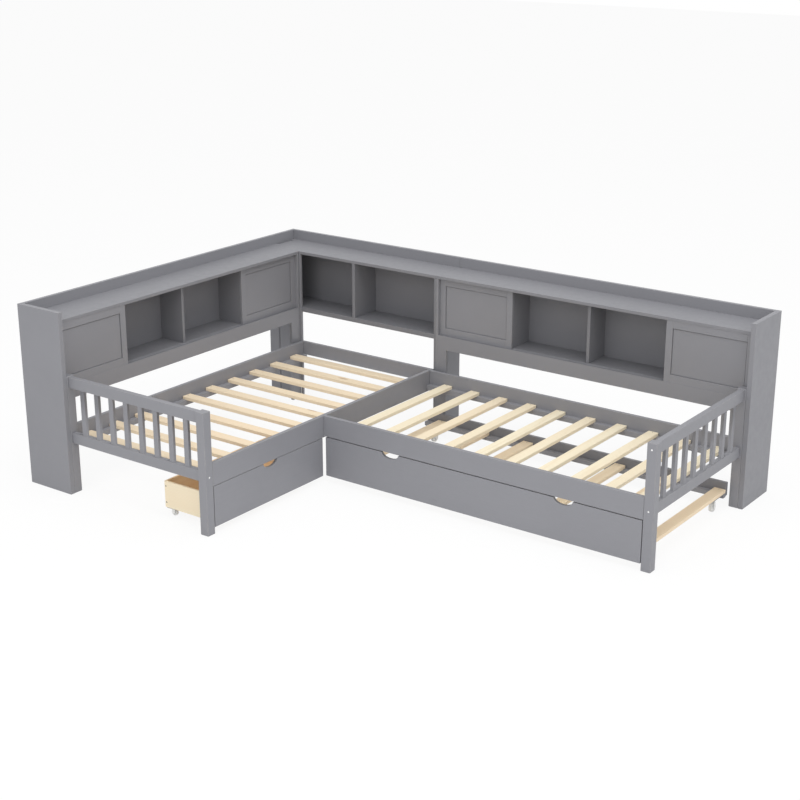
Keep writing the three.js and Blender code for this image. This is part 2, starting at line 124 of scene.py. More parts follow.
# Where an arris has rubbed pale, in patches along it with small nicks
wearShape = {
    "edges": (0.44, 0.68),  # where a patch begins and where it is full
    "nickScale": 140.0,
    "nickEdges": (0.5, 0.7),
    "nickDepth": 0.6,
}
wearGroup, wearIn, wearOut = newGroup(
    "arrisWear",
    [("Place", "v", None), ("Rim", "f", 0.0), ("Amount", "f", 0.5), ("Patch", "f", 9.0)],
    ["Mask"],
)
patches = noise(wearGroup, wearIn["Place"], wearIn["Patch"], 5.0, 0.6)
patches = spread(wearGroup, patches, *wearShape["edges"])
nicks = noise(wearGroup, wearIn["Place"], wearShape["nickScale"], 3.0, 0.6)
nicks = spread(wearGroup, nicks, *wearShape["nickEdges"], 0.0, wearShape["nickDepth"])
worn = maths(wearGroup, "ADD", patches, nicks)
worn = maths(wearGroup, "MULTIPLY", worn, wearIn["Rim"])
worn = maths(wearGroup, "MULTIPLY", worn, wearIn["Amount"])
wearGroup.links.new(maths(wearGroup, "MINIMUM", worn, 1.0), wearOut["Mask"])

# Rings and fibres of a board whose grain runs along x of Place. A board's tone shifts the figure, so
# that no two boards look cut from one place
figureShape = {
    "shifts": (17.0, 0.31, 0.23),  # along x, y and z for a tone of 1
    "offCentre": 0.5,  # sets the rings' middle off to one side
    "bendStretch": (0.35, 3.0, 3.0),
    "ringStretch": (0.04, 1.0, 1.0),
    "fibreStretch": (6.0, 420.0, 420.0),
    "driftStretch": (0.9, 12.0, 12.0),
    "knotStretch": (2.1, 7.5, 7.5),
    "bendScale": 2.2,
    "ringWaver": 0.6,
    "lateSharpness": 3.2,  # how narrow the dark part of a ring is
    "knotEdges": (0.06, 0.1),
}
figureGroup, figureIn, figureOut = newGroup(
    "woodFigure",
    [("Place", "v", None), ("Tone", "f", 0.0), ("Rings", "f", 46.0), ("Wander", "f", 0.03)],
    ["Late", "Fibre", "Knot", "Drift"],
)
shiftX, shiftY, shiftZ = figureShape["shifts"]
shift = {
    "X": maths(figureGroup, "MULTIPLY", figureIn["Tone"], shiftX),
    "Y": maths(figureGroup, "MULTIPLY_ADD", figureIn["Tone"], shiftY, figureShape["offCentre"]),
    "Z": maths(figureGroup, "MULTIPLY", figureIn["Tone"], shiftZ),
}
shift = put(figureGroup, "ShaderNodeCombineXYZ", shift).outputs[0]
boardAt = vectorMaths(figureGroup, "ADD", {0: figureIn["Place"], 1: shift})
links = {
    "Vector": stretched(figureGroup, boardAt, figureShape["bendStretch"]),
    "Scale": figureShape["bendScale"],
    "Detail": 2.0,
}
bend = put(figureGroup, "ShaderNodeTexNoise", links).outputs["Color"]
bend = vectorMaths(figureGroup, "SUBTRACT", {0: bend, 1: (0.5, 0.5, 0.5)})
bend = vectorMaths(figureGroup, "SCALE", {0: bend, "Scale": figureIn["Wander"]})
ringAt = stretched(figureGroup, boardAt, figureShape["ringStretch"])
links = {
    "Vector": vectorMaths(figureGroup, "ADD", {0: ringAt, 1: bend}),
    "Scale": figureIn["Rings"],
    "Distortion": figureShape["ringWaver"],
}
wave = {"wave_type": "RINGS", "rings_direction": "X"}
rings = put(figureGroup, "ShaderNodeTexWave", links, **wave).outputs["Fac"]
late = maths(figureGroup, "POWER", rings, figureShape["lateSharpness"])
fibreAt = stretched(figureGroup, boardAt, figureShape["fibreStretch"])
fibre = noise(figureGroup, fibreAt, 1.0, 3.0, 0.6)
driftAt = stretched(figureGroup, boardAt, figureShape["driftStretch"])
drift = noise(figureGroup, driftAt, 1.0, 2.0)
links = {"Vector": stretched(figureGroup, boardAt, figureShape["knotStretch"]), "Scale": 1.0}
knot = put(figureGroup, "ShaderNodeTexVoronoi", links).outputs["Distance"]
knot = spread(figureGroup, knot, *figureShape["knotEdges"], 1.0, 0.0)
for label, source in (("Late", late), ("Fibre", fibre), ("Knot", knot), ("Drift", drift)):
    figureGroup.links.new(source, figureOut[label])

# Slow change of tone, fine unevenness and smears, for anything sprayed, moulded or plated
skinGroup, skinIn, skinOut = newGroup(
    "surfaceSkin",
    [("Place", "v", None), ("Broad", "f", 2.4), ("Fine", "f", 620.0), ("Smear", "f", 24.0)],
    ["Broad", "Fine", "Smear"],
)
for label, detail in (("Broad", 3.0), ("Fine", 2.0), ("Smear", 4.0)):
    made = noise(skinGroup, skinIn["Place"], skinIn[label], detail, 0.55)
    skinGroup.links.new(made, skinOut[label])
print("stage: shared effects")

grainTurns = {"x": (0, 0, 0), "y": (0, 0, -math.pi / 2), "z": (0, math.pi / 2, 0)}
noiseSpan = (0.3, 0.7)  # where nearly all values of a noise lie


# A material with its coordinates turned so that the grain runs along x
def startMaterial(name, grain="x"):
    material = bpy.data.materials.new(name)
    material.use_nodes = True
    tree = material.node_tree
    shader = next(n for n in tree.nodes if n.type == "BSDF_PRINCIPLED")
    at = put(tree, "ShaderNodeTexCoord").outputs["Object"]
    links = {"Vector": at, "Rotation": grainTurns[grain]}
    at = put(tree, "ShaderNodeMapping", links).outputs["Vector"]
    return material, tree, shader, at


def attribute(tree, name):
    return put(tree, "ShaderNodeAttribute", attribute_name=name).outputs["Fac"]


def useGroup(tree, group, links):
    return put(tree, "ShaderNodeGroup", links, node_tree=group).outputs


def bumped(tree, shader, height, distance):
    links = {"Height": height, "Distance": distance}
    normal = put(tree, "ShaderNodeBump", links).outputs["Normal"]
    tree.links.new(normal, shader.inputs["Normal"])


def shaded(colour, shade):
    return tuple(a * b for a, b in zip(colour, shade)) + (1,)


paintLook = {
    "colour": (0.284, 0.285, 0.308, 1),
    "shade": (0.268, 0.269, 0.291, 1),
    "rubbed": (0.40, 0.405, 0.41, 1),
    "rubbedPine": (0.41, 0.40, 0.385, 1),
    # brightness of the paint on case boards, top boards, boards inside the cubbies and pine; the top
    # boards are darker as painted shade, the cubby boards and the trundle's rear rail darker still
    # as painted shade, and pine a touch lighter, partly its own paint and partly painted light on
    # proud frames
    "tones": {"Board": 0.99, "Top": 0.925, "Inner": 0.82, "Pine": 1.01},
    "broad": 1.7,  # scale of the slow change of tone
    "fibreStreaks": 0.16,
    "ringStreaks": 0.22,
    "ringRelief": 1.2,
    "wear": 0.35,
    "roughness": (0.40, 0.54),
    "wornRoughness": 0.18,
    "shine": 0.35,
    "peel": 0.00006,  # height of the sprayed skin
    "grainDepth": 0.00012,  # how far the grain of pine shows through the paint
}


# Satin gray paint, smooth on fibreboard and with the grain just showing on pine
def paintMaterial(name, grain, kind):
    material, tree, shader, at = startMaterial(name, grain)
    onPine = kind == "Pine"
    shade = [paintLook["tones"][kind]] * 3
    full, dull = shaded(paintLook["colour"], shade), shaded(paintLook["shade"], shade)
    skin = useGroup(tree, skinGroup, {"Place": at, "Broad": paintLook["broad"]})
    colour = blended(tree, spread(tree, skin["Broad"], *noiseSpan), dull, full)
    height = skin["Fine"]
    if onPine:
        figure = useGroup(tree, figureGroup, {"Place": at, "Tone": attribute(tree, "tone")})
        streak = spread(tree, figure["Fibre"], 0.3, 0.75, 0.0, paintLook["fibreStreaks"])
        colour = blended(tree, streak, colour, dull)
        streak = spread(tree, figure["Late"], 0.0, 1.0, 0.0, paintLook["ringStreaks"])
        colour = blended(tree, streak, colour, dull)
        relief = (figure["Late"], paintLook["ringRelief"], figure["Fibre"])
        relief = maths(tree, "MULTIPLY_ADD", *relief)
        share = paintLook["grainDepth"] / paintLook["peel"]
        height = maths(tree, "ADD", height, maths(tree, "MULTIPLY", relief, share))
    links = {"Place": at, "Rim": attribute(tree, "rim"), "Amount": paintLook["wear"]}
    worn = useGroup(tree, wearGroup, links)["Mask"]
    colour = blended(tree, worn, colour, paintLook["rubbedPine" if onPine else "rubbed"])
    tree.links.new(colour, shader.inputs["Base Color"])
    rough = spread(tree, skin["Smear"], *noiseSpan, *paintLook["roughness"])
    wornRough = maths(tree, "MULTIPLY", worn, paintLook["wornRoughness"])
    tree.links.new(maths(tree, "ADD", rough, wornRough), shader.inputs["Roughness"])
    shader.inputs["Specular IOR Level"].default_value = paintLook["shine"]
    bumped(tree, shader, height, paintLook["peel"])
    return material


pineLook = {
    "pale": (0.97, 0.89, 0.68, 1),
    "warm": (0.96, 0.79, 0.575, 1),
    "late": (0.84, 0.64, 0.41, 1),
    "knot": (0.50, 0.30, 0.16, 1),
    "boxPaintedShade": (0.88, 0.76, 0.64),  # painted shade darkening the drawer's back and bottom inside the box
    "drift": 0.25,
    "rings": 0.22,
    "fibres": 0.12,
    "knots": 0.6,
    "roughness": (0.50, 0.68),
    "shine": 0.3,
    "relief": 0.00025,
    "ringRelief": 0.6,
}


# Planed pine, each board with its own tone, rings and knots
def pineMaterial(name, grain, shade=(1, 1, 1)):
    material, tree, shader, at = startMaterial(name, grain)
    pale, warm, late = (shaded(pineLook[key], shade) for key in ("pale", "warm", "late"))
    tone = attribute(tree, "tone")
    figure = useGroup(tree, figureGroup, {"Place": at, "Tone": tone})
    colour = blended(tree, maths(tree, "FRACT", tone), pale, warm)
    drift = spread(tree, figure["Drift"], 0.35, 0.65, 0.0, pineLook["drift"])
    colour = blended(tree, drift, colour, warm)
    rings = maths(tree, "MULTIPLY", figure["Late"], pineLook["rings"])
    colour = blended(tree, rings, colour, late)
    fibres = spread(tree, figure["Fibre"], 0.35, 0.7, 0.0, pineLook["fibres"])
    colour = blended(tree, fibres, colour, late)
    knots = maths(tree, "MULTIPLY", figure["Knot"], pineLook["knots"])
    colour = blended(tree, knots, colour, pineLook["knot"])
    tree.links.new(colour, shader.inputs["Base Color"])
    rough = spread(tree, figure["Fibre"], *noiseSpan, *pineLook["roughness"])
    tree.links.new(rough, shader.inputs["Roughness"])
    shader.inputs["Specular IOR Level"].default_value = pineLook["shine"]
    relief = (figure["Late"], pineLook["ringRelief"], figure["Fibre"])
    bumped(tree, shader, maths(tree, "MULTIPLY_ADD", *relief), pineLook["relief"])
    return material


hardLooks = {
    "whitePlastic": {
        "colour": (0.95, 0.95, 0.94, 1),
        "soiled": (0.88, 0.88, 0.86, 1),
        "roughness": (0.34, 0.52),
        "metallic": 0.0,
    },
    "zincSteel": {
        "colour": (0.42, 0.43, 0.44, 1),
        "soiled": (0.27, 0.27, 0.27, 1),
        "roughness": (0.32, 0.50),
        "metallic": 1.0,
    },
    "darkSteel": {
        "colour": (0.10, 0.10, 0.105, 1),
        "soiled": (0.055, 0.055, 0.055, 1),
        "roughness": (0.38, 0.55),
        "metallic": 0.6,
    },
}

# How plastic and steel are soiled and worn
hardSkin = {
    "scales": {"Broad": 22.0, "Fine": 1500.0, "Smear": 90.0},
    "soil": 0.7,
    "wear": 0.5,
    "wearPatch": 60.0,
    "grain": 0.00003,
}


# Moulded plastic and plated steel, with soiled patches, smears and rubbed arrises
def hardMaterial(name, look):
    material, tree, shader, at = startMaterial(name)
    skin = useGroup(tree, skinGroup, {"Place": at, **hardSkin["scales"]})
    soil = spread(tree, skin["Broad"], 0.42, 0.72, 0.0, hardSkin["soil"])
    colour = blended(tree, soil, look["colour"], look["soiled"])
    links = {"Place": at, "Rim": attribute(tree, "rim")}
    links.update({"Amount": hardSkin["wear"], "Patch": hardSkin["wearPatch"]})
    worn = useGroup(tree, wearGroup, links)["Mask"]
    colour = blended(tree, worn, colour, look["soiled"])
    tree.links.new(colour, shader.inputs["Base Color"])
    rough = spread(tree, skin["Smear"], *noiseSpan, *look["roughness"])
    tree.links.new(rough, shader.inputs["Roughness"])
    shader.inputs["Metallic"].default_value = look["metallic"]
    bumped(tree, shader, skin["Fine"], hardSkin["grain"])
    return material


finishes = {}
for kind in ("Board", "Top", "Inner"):
    finishes["paint" + kind] = paintMaterial("grayPaintOn" + kind, "x", kind)
for grain in "xyz":
    upper = grain.upper()
    finishes["paintPine" + upper] = paintMaterial("grayPaintOnPine" + upper, grain, "Pine")
    finishes["pine" + upper] = pineMaterial("naturalPine" + upper, grain)
finishes["shadedPineBox"] = pineMaterial("naturalPineInShade", "y", pineLook["boxPaintedShade"])
for name, look in hardLooks.items():
    finishes[name] = hardMaterial(name, look)
print("stage:", len(finishes), "materials")


# Mesh helpers. Each face carries how much of an arris it is, and its board's own tone
def startMesh():
    bm = bmesh.new()
    for label in ("rim", "tone"):
        bm.faces.layers.float.new(label)
    return bm


def markFaces(bm, faces, tone, rims=()):
    rimLayer, toneLayer = bm.faces.layers.float["rim"], bm.faces.layers.float["tone"]
    for face in faces:
        face[toneLayer] = tone
    for face in rims:
        face[rimLayer] = 1.0


def markNew(bm, known, tone=0.0, rims=()):
    markFaces(bm, [face for face in bm.faces if face not in known], tone, rims)


def finishPiece(bm, name, finish, body=mainBody, nodes=()):
    bmesh.ops.recalc_face_normals(bm, faces=bm.faces)
    mesh = bpy.data.meshes.new(name)
    bm.to_mesh(mesh)
    bm.free()
    mesh.shade_smooth()
    mesh.materials.append(finishes[finish])
    piece = bpy.data.objects.new(name, mesh)
    bpy.context.scene.collection.objects.link(piece)
    even = piece.modifiers.new("evenShade", "WEIGHTED_NORMAL")
    even.keep_sharp = True
    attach(piece, body)
    if nodes:
        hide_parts(*nodes)


# The corners of a box, cut down to a span on each axis that is named
def cutDown(low, high, spans):
    first, last = low.copy(), high.copy()
    for axis, (a, b) in spans.items():
        first[axis], last[axis] = a, b
    return first, last


# Edges rounded by a bevel, which gives back its faces
def roundEdges(bm, edges, edgeRound, segments, **settings):
    settings.update({"segments": segments, "profile": 0.5, "affect": "EDGES"})
    return bmesh.ops.bevel(bm, geom=edges, offset=edgeRound, **settings)["faces"]


# A board between two corners, with rounded arrises
def addBoard(bm, low, high, edgeRound, tone=0.0, segments=2):
    known = set(bm.faces)
    verts = bmesh.ops.create_cube(bm, size=1.0)["verts"]
    for vert in verts:
        vert.co = Vector([low[i] if vert.co[i] < 0 else high[i] for i in range(3)])
    edges = list({edge for vert in verts for edge in vert.link_edges})
    markNew(bm, known, tone, roundEdges(bm, edges, edgeRound, segments))


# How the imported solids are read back
copying = {
    "weld": 0.00001,
    "flat": math.radians(0.5),  # faces that turn less than this are one face
    "sharp": math.radians(35),  # edges that turn more than this are arrises
}


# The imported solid's form again, as whole faces, with its outer arrises rounded
def roundedCopy(node, edgeRound, tone=0.0, segments=2):
    bm = startMesh()
    bm.from_mesh(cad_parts[node].data)
    bmesh.ops.remove_doubles(bm, verts=bm.verts, dist=copying["weld"])
    bmesh.ops.dissolve_limit(bm, angle_limit=copying["flat"], verts=bm.verts, edges=bm.edges)
    sharp = [
        edge
        for edge in bm.edges
        if len(edge.link_faces) == 2
        and edge.is_convex
        and edge.calc_face_angle(0) > copying["sharp"]
    ]
    rims = roundEdges(bm, sharp, edgeRound, segments, clamp_overlap=True)
    markFaces(bm, list(bm.faces), tone, rims)
    return bm


# Moves a form made about z so that it stands on `place` and faces `outward`
def facing(place, outward):
    turned = Vector(outward).to_track_quat("Z", "Y").to_matrix().to_4x4()
    return Matrix.Translation(place) @ turned


def addRings(bm, move, profile, sides):
    angles = [2 * math.pi * i / sides for i in range(sides)]
    return [
        [bm.verts.new(move @ Vector((r * math.cos(a), r * math.sin(a), z))) for a in angles]
        for r, z in profile
    ]


def addWalls(bm, below, above):
    for i, vert in enumerate(below):
        j = (i + 1) % len(below)
        bm.faces.new((vert, below[j], above[j], above[i]))


screwHead = {
    "sides": 14,
    "sunk": -0.0012,
    "edge": 0.00012,
    "crown": 0.0004,
    "crownShare": 0.86,
    "recess": -0.0007,
    "armShare": 0.17,  # half the width of the cross
    "reachShare": 0.62,
}


# A countersunk screw head with a cross recess, flush on a face whose outside is `outward`
def addScrew(bm, place, outward, radius):
    known = set(bm.faces)
    move = facing(place, outward)
    crown = screwHead["crown"]
    profile = [(radius, screwHead["sunk"]), (radius, screwHead["edge"])]
    profile.append((screwHead["crownShare"] * radius, crown))
    loops = addRings(bm, move, profile, screwHead["sides"])
    arm, reach = screwHead["armShare"] * radius, screwHead["reachShare"] * radius
    cross = []
    for quarter in range(4):
        for x, y in ((reach, arm), (arm, arm), (arm, reach)):
            for _ in range(quarter):
                x, y = -y, x
            cross.append((x, y))
    crosses = [
        [bm.verts.new(move @ Vector((x, y, z))) for x, y in cross]
        for z in (crown, screwHead["recess"])
    ]
    bm.faces.new(loops[0])
    for below, above in ((loops[0], loops[1]), (loops[1], loops[2]), tuple(crosses)):
        addWalls(bm, below, above)
    bm.faces.new(crosses[1])
    rimEdges = [
        bm.edges.get((loop[i], loop[(i + 1) % len(loop)]))
        for loop in (loops[2], crosses[0])
        for i in range(len(loop))
    ]
    bmesh.ops.triangle_fill(bm, use_beauty=True, edges=rimEdges)
    markNew(bm, known)


# A turned form: rings of (radius, height) about an axis, closed at both ends
def addTurned(bm, place, outward, profile, sides):
    known = set(bm.faces)
    loops = addRings(bm, facing(place, outward), profile, sides)
    for below, above in zip(loops, loops[1:]):
        addWalls(bm, below, above)
    bm.faces.new(loops[0])
    bm.faces.new(loops[-1])
    markNew(bm, known)


def grainOf(node):
    low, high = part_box(node)
    size = high - low
    return "XYZ"[max(range(3), key=lambda i: size[i])]


# Painted boards, rails and posts. Fibreboard has tight arrises and solid pine softer ones
boardwork = {
    "boardRound": 0.0012,
    "railRound": 0.002,
    "postRound": 0.003,
    "grilleRound": 0.0022,
    "frontRound": 0.0018,
}
boards = """
right_end_panel left_end_panel corner_filler_strip corner_left_side_panel
corner_right_side_panel corner_top_board corner_floor_board corner_divider
corner_back_panel right_inner_side_panel right_top_board right_floor_board
right_face_frame right_divider_1 right_divider_2 right_divider_3 right_back_panel
left_inner_side_panel left_top_board left_floor_board left_face_frame
left_divider_1 left_divider_2 left_divider_3 left_back_panel
""".split()
rails = """
corner_gallery_rail right_gallery_rail left_gallery_rail left_bed_side_rail
left_bed_head_rail shared_side_rail right_bed_rear_rail right_bed_front_rail
""".split()
posts = """
left_rear_post left_front_post right_rear_post right_front_post shared_rail_leg
""".split()
inner = ("divider", "back_panel", "floor_board", "corner_left_side", "corner_right_side")
for node in boards:
    bm = roundedCopy(node, boardwork["boardRound"], seeded.random())
    # boards inside the cubbies take the paint darkened as painted shade of the recesses
    finish = "paintInner" if any(word in node for word in inner) else "paintBoard"
    # top boards take the paint darkened as painted shade, because their upper faces catch the most
    # light
    finish = "paintTop" if "top_board" in node else finish
    finishPiece(bm, node + "_board", finish, nodes=[node])
for node in rails + posts:
    edge = boardwork["railRound" if node in rails else "postRound"]
    bm = roundedCopy(node, edge, seeded.random())
    finishPiece(bm, node + "_wood", "paintPine" + grainOf(node), nodes=[node])
for node in ("left_footboard_grille", "right_footboard_grille"):
    bm = roundedCopy(node, boardwork["grilleRound"], seeded.random())
    finishPiece(bm, node + "_wood", "paintPineZ", nodes=[node])
print("stage: painted boards, rails and posts")

# Sliding doors: stiles, rails and a panel set back between them
doorwork = {
    "stile": 0.038,
    "rail": 0.048,
    "setBack": 0.005,
    "backSet": 0.004,
    "frameRound": 0.0012,
    "letIn": 0.003,  # how far the panel runs into the frame
    "panelRound": 0.0003,
    "groove": 0.0032,  # between the frame and the raised field of the panel
    "grooveFloor": 0.0025,  # thickness of the panel behind the groove
    "fieldRound": 0.0006,
}
stile, rail = doorwork["stile"], doorwork["rail"]
for side, run, face in (("right", 0, -1), ("left", 1, 1)):
    across = 1 - run
    for number in (1, 2):
        node = f"{side}_door_{number}"
        low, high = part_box(node)
        frameMesh, panelMesh = startMesh(), startMesh()
        wide = (low[run] + stile, high[run] - stile)  # between the stiles
        tall = (low.z + rail, high.z - rail)
        parts = [{run: (low[run], wide[0])}, {run: (wide[1], high[run])}]
        parts += [{run: wide, 2: (low.z, tall[0])}, {run: wide, 2: (tall[1], high.z)}]
        for spans in parts:
            first, last = cutDown(low, high, spans)
            addBoard(frameMesh, first, last, doorwork["frameRound"], seeded.random())
        # the panel is let into the frame, and a groove runs round its raised field
        front, back = (high, low) if face > 0 else (low, high)
        rear = back[across] + face * doorwork["backSet"]
        floors = (rear, rear + face * doorwork["grooveFloor"])
        fields = (
            rear + face * doorwork["grooveFloor"] / 2,
            front[across] - face * doorwork["setBack"],
        )
        for grow, depths, edge in (
            (doorwork["letIn"], floors, doorwork["panelRound"]),
            (-doorwork["groove"], fields, doorwork["fieldRound"]),
        ):
            spans = {run: (wide[0] - grow, wide[1] + grow), 2: (tall[0] - grow, tall[1] + grow)}
            first, last = cutDown(low, high, {across: sorted(depths), **spans})
            addBoard(panelMesh, first, last, edge, seeded.random())
        finishPiece(frameMesh, node + "_frame", "paintPine" + "XY"[run], node, [node])
        finishPiece(panelMesh, node + "_panel", "paintBoard", node)
print("stage: sliding doors")

# Slats on painted ledgers, a screw at each end of a slat
slatwork = {
    "left_bed": {"along": 1, "start": 0.072, "end": 0.038, "width": 0.062, "count": 10},
    "right_bed": {"along": 0, "start": 0.106, "end": 0.047, "width": 0.060, "count": 10},
    "trundle": {"along": 0, "start": 0.080, "end": 0.001, "width": 0.065, "count": 7},
}
# how warm the pine of each base is, from pale 0 to warm 1
slatWarmth = {"left_bed": (0.7, 0.99), "right_bed": (0.0, 0.45), "trundle": (0.6, 0.99)}
slatShape = {
    "thick": 0.020,
    "inset": 0.0017,
    "round": 0.0028,
    "screw": 0.0034,
    "screwInset": 0.015,
    "ledger": 0.0297,
    "ledgerRound": 0.0015,
    "letIn": 0.002,
    "trundleLedger": 0.025,  # height of the trundle's; the beds' ledgers fill their node's height
}
for base, its in slatwork.items():
    node = base + "_slat_base"
    body = "trundle" if base == "trundle" else mainBody
    low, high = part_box(node)
    run, cross = its["along"], 1 - its["along"]
    length = high[run] - low[run]
    pitch = (length - its["start"] - its["end"] - its["width"]) / (its["count"] - 1)
    slats, ledgers, screws = startMesh(), startMesh(), startMesh()
    under = high.z - slatShape["thick"]
    ends = (low[cross] + slatShape["inset"], high[cross] - slatShape["inset"])
    for i in range(its["count"]):
        side = its["start"] + i * pitch
        # the left bed is counted from its head, which is at the high end
        side = high[run] - side - its["width"] if run == 1 else low[run] + side
        first, last = cutDown(low, high, {run: (side, side + its["width"]), cross: ends})
        first.z = under
        tone = seeded.randrange(3) + seeded.uniform(*slatWarmth[base])
        addBoard(slats, first, last, slatShape["round"], tone, 3)
        for end in (ends[0] + slatShape["screwInset"], ends[1] - slatShape["screwInset"]):
            place = Vector((0, 0, high.z))
            place[run], place[cross] = side + its["width"] / 2, end
            addScrew(screws, place, (0, 0, 1), slatShape["screw"])
    ledgerTop = under + slatShape["letIn"]
    ledgerLow = ledgerTop - slatShape["trundleLedger"] if base == "trundle" else low.z
    for span in (
        (low[cross], low[cross] + slatShape["ledger"]),
        (high[cross] - slatShape["ledger"], high[cross]),
    ):
        first, last = cutDown(low, high, {cross: span, 2: (ledgerLow, ledgerTop)})
        addBoard(ledgers, first, last, slatShape["ledgerRound"], seeded.random())
    finishPiece(slats, base + "_slats", "pine" + "XY"[cross], body, [node])
    finishPiece(ledgers, base + "_ledgers", "paintPine" + "XY"[run], body)
    finishPiece(screws, base + "_slat_screws", "zincSteel", body)
print("stage: slat bases")

# Casters: a moulded wheel with a recessed web and spokes
wheelShape = {
    "sides": 40,
    "webShare": 0.45,  # of half the width, as is the flat of the tread
    "rimShare": 0.80,  # of the radius, as are the next three
    "hubShare": 0.34,
    "boreShare": 0.17,
    "lipShare": 0.306,
    "slope": 0.001,
    "shoulder": 0.002,
    "shoulderEdge": (0.0006, 0.0012),
    "spokes": 6,
    "spokeHalf": 0.0012,
    "spokeSunk": 0.002,
    "spokeRound": 0.0004,
}


def addWheel(bm, centre, outward, radius, width):
    half, slope = width / 2, wheelShape["slope"]
    web = half * wheelShape["webShare"]
    rim, hub, bore, lip = (
        radius * wheelShape[part + "Share"] for part in ("rim", "hub", "bore", "lip")
    )
    inward, down = wheelShape["shoulderEdge"]
    side = [(bore, half), (lip, half), (hub, half - slope), (hub + slope, web)]
    side += [(rim - slope, web), (rim, half - slope), (rim + slope, half)]
    side += [(radius - wheelShape["shoulder"], half), (radius - inward, half - down)]
    side.append((radius, web))
    profile = [(r, -z) for r, z in side] + side[::-1]
    addTurned(bm, centre, outward, profile, wheelShape["sides"])
    thin, tall = wheelShape["spokeHalf"], half - wheelShape["spokeSunk"]
    for i in range(wheelShape["spokes"]):
        known = set(bm.verts)
        first, last = Vector((hub - slope, -thin, -tall)), Vector((rim + slope, thin, tall))
        addBoard(bm, first, last, wheelShape["spokeRound"])
        turn = Matrix.Rotation(2 * math.pi * i / wheelShape["spokes"], 4, "Z")
        move = facing(centre, outward) @ turn
        for vert in bm.verts:
            if vert not in known:
                vert.co = move @ vert.co


# Forks: a plate screwed on above, a block, a bridge over the wheel and two cheeks
forkShape = {
    "cheek": 0.003,
    "play": 0.001,
    "plate": 0.003,
    "plateRound": 0.0008,
    "aboveWheel": 0.002,
    "cheekHalf": 0.009,
    "blockShare": 0.8,
    "blockRound": 0.0004,
    "leastBlock": 0.001,  # a lower block than this is left out
    "archSteps": 8,
    "archShares": (0.9, 0.85),
    "overlap": 0.001,
    "pinHead": [(0.0042, -0.0004), (0.0042, 0.0003), (0.0032, 0.0009), (0.0014, 0.0012)],
    "pinSides": 16,
}


def addFork(bm, plates, centre, run, radius, width, top, plateHalf):
    inner = width / 2 + forkShape["play"]
    outer = inner + forkShape["cheek"]
    under = centre.z + radius + forkShape["aboveWheel"]
    bridgeTop, plateLow = under + forkShape["plate"], top - forkShape["plate"]
    other = 1 - run
    half = forkShape["cheekHalf"]
    block = half * forkShape["blockShare"]
    forms = [
        (bm, outer, half, (under, bridgeTop), forkShape["plateRound"]),
        (plates, *plateHalf, (plateLow, top), forkShape["plateRound"]),
    ]
    if plateLow - bridgeTop > forkShape["leastBlock"]:
        forms.append((bm, block, block, (bridgeTop, plateLow), forkShape["blockRound"]))
    for mesh, wide, deep, levels, edge in forms:
        spans = {
            run: (centre[run] - wide, centre[run] + wide),
            other: (centre[other] - deep, centre[other] + deep),
            2: levels,
        }
        addBoard(mesh, *cutDown(centre, centre, spans), edge)
    # cheeks with rounded ends, and the pin's head on each
    angles = [math.pi * (1 + i / forkShape["archSteps"]) for i in range(forkShape["archSteps"] + 1)]
    acrossShare, downShare = forkShape["archShares"]
    points = [
        (half * acrossShare * math.cos(a), half * downShare * math.sin(a)) for a in angles
    ]
    rise = under + forkShape["overlap"] - centre.z
    points += [(half, rise), (-half, rise)]
    for sign in (-1, 1):
        known = set(bm.faces)
        loops = []
        for depth in (sign * inner, sign * outer):
            shifts = []
            for x, z in points:
                shift = Vector((0, 0, z))
                shift[run], shift[other] = depth, x
                shifts.append(shift)
            loops.append([bm.verts.new(centre + shift) for shift in shifts])
        bm.faces.new(loops[0])
        bm.faces.new(loops[1])
        addWalls(bm, *loops)
        markNew(bm, known)
        outward = Vector((0, 0, 0))
        outward[run] = sign
        head = centre + outer * outward
        addTurned(bm, head, outward, forkShape["pinHead"], forkShape["pinSides"])


casters = {
    "trundle": {"run": 0, "top": 0.0829, "plateHalf": (0.032, 0.0575), "axis": (1, 0, 0)},
    "drawer": {"run": 1, "top": 0.0449, "plateHalf": (0.0248, 0.034), "axis": (0, 1, 0)},
}
wheels = sorted(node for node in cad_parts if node.endswith("_wheel"))
for owner, its in casters.items():
    forks, plates = startMesh(), startMesh()
    for node in (wheel for wheel in wheels if wheel.startswith(owner)):
        low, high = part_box(node)
        centre, size = (low + high) / 2, high - low
        radius, width = size.z / 2, size[its["run"]]
        bm = startMesh()
        addWheel(bm, centre, its["axis"], radius, width)
        finishPiece(bm, node + "_moulding", "whitePlastic", node, [node])
        addFork(forks, plates, centre, its["run"], radius, width, its["top"], its["plateHalf"])
    finishPiece(forks, owner + "_caster_forks", "whitePlastic", owner)
    finishPiece(plates, owner + "_caster_plates", "zincSteel", owner)
print("stage: casters")

# Fronts of the trundle and the drawer with their grips, and the trundle's rear rail
for node, body, finish in (
    ("trundle_front", "trundle", "paintPineX"),
    # the trundle's rear rail takes the darkened paint as painted shade under the bed
    ("trundle_back_rail", "trundle", "paintInner"),
    ("drawer_front", "drawer", "paintPineY"),
):
    bm = roundedCopy(node, boardwork["frontRound"], seeded.random(), 3)
    finishPiece(bm, node + "_wood", finish, body, [node])

